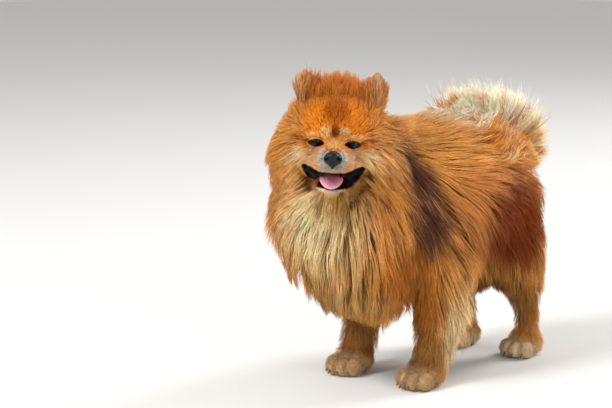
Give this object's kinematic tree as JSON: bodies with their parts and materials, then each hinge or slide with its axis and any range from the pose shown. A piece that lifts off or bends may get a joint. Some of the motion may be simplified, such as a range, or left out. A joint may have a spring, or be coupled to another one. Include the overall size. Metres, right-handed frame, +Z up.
{
  "type": "pomeranian dog",
  "caption": "Still model of a standing Pomeranian in full coat, head turned to its left, mouth open, plumed tail curled over its back.",
  "frame": {"origin": "centre of the bounding box at floor level, under the dog", "axes": "-Y the way the dog's body faces, +X its left side, +Z up"},
  "size_m": [0.17, 0.3306, 0.302],
  "materials": {
    "rust_coat": "long, soft double coat, dull rust orange",
    "golden_coat": "long, soft double coat, golden with cream tips",
    "cream_coat": "long, silky plume, cream with orange locks",
    "nose_leather": "moist, finely pebbled",
    "eye": "wet, nearly black brown",
    "tongue": "moist, finely rough",
    "claw": "smooth horn"
  },
  "bodies": {
    "root": {"head": "rust_coat", "jaw": "rust_coat", "ear_left": "rust_coat", "ear_right": "rust_coat", "trunk": "rust_coat", "thigh_left": "rust_coat", "thigh_right": "rust_coat", "foreleg_left": "rust_coat", "foreleg_right": "rust_coat", "hindleg_left": "rust_coat", "hindleg_right": "rust_coat", "neck": "golden_coat", "chest": "golden_coat", "forepaw_left": "golden_coat", "forepaw_right": "golden_coat", "hindpaw_left": "golden_coat", "hindpaw_right": "golden_coat", "tail": "cream_coat", "nose": "nose_leather", "eye_left": "eye", "eye_right": "eye", "tongue": "tongue", "claw_fore_left_1": "claw", "claw_fore_left_2": "claw", "claw_fore_left_3": "claw", "claw_fore_left_4": "claw", "claw_fore_right_1": "claw", "claw_fore_right_2": "claw", "claw_fore_right_3": "claw", "claw_fore_right_4": "claw", "claw_hind_left_1": "claw", "claw_hind_left_2": "claw", "claw_hind_left_3": "claw", "claw_hind_left_4": "claw", "claw_hind_right_1": "claw", "claw_hind_right_2": "claw", "claw_hind_right_3": "claw", "claw_hind_right_4": "claw"}
  },
  "joints": []
}
